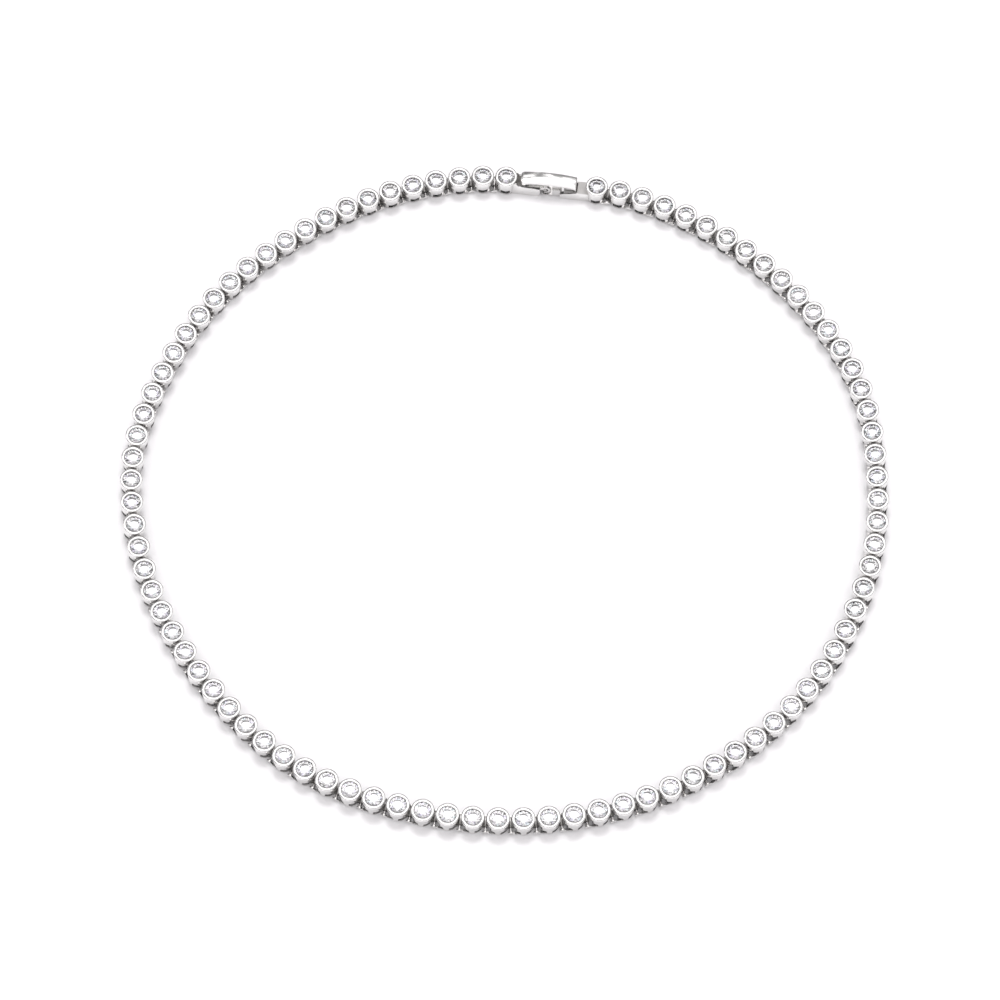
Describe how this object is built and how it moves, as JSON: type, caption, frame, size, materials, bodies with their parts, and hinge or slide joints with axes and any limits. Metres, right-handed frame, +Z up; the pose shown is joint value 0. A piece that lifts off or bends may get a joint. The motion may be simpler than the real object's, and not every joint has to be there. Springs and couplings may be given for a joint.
{
  "type": "riviere necklace",
  "caption": "Riviere necklace of round clear stones in plain bezel links, each with a foot ring and windows, closed by a fold-over clasp with a sprung hook and a hinged lid",
  "frame": {"origin": "On the surface that the necklace lies on, midway between its outermost stones in length and in width.", "axes": "+Z is up, out of the stones' tables. +Y points from the middle of the loop to the clasp. +X runs across the loop, from the first clasp half towards the second."},
  "size_m": [0.1414, 0.1323, 0.0053],
  "materials": {
    "metal": "polished rhodium-plated silver",
    "stone": "faceted and polished"
  },
  "bodies": {
    "string": {"settings": "metal", "stones": "stone", "clasp_base": "metal", "clasp_catch": "metal"},
    "lid": {"clasp_lid": "metal"}
  },
  "joints": [
    {"name": "lid_hinge", "type": "hinge", "parent": "string", "child": "lid", "pos_m": [0.00428, 0.06346, 0.0038], "axis": [-0.127, -0.9919, 0], "range_deg": [0, 95]}
  ]
}
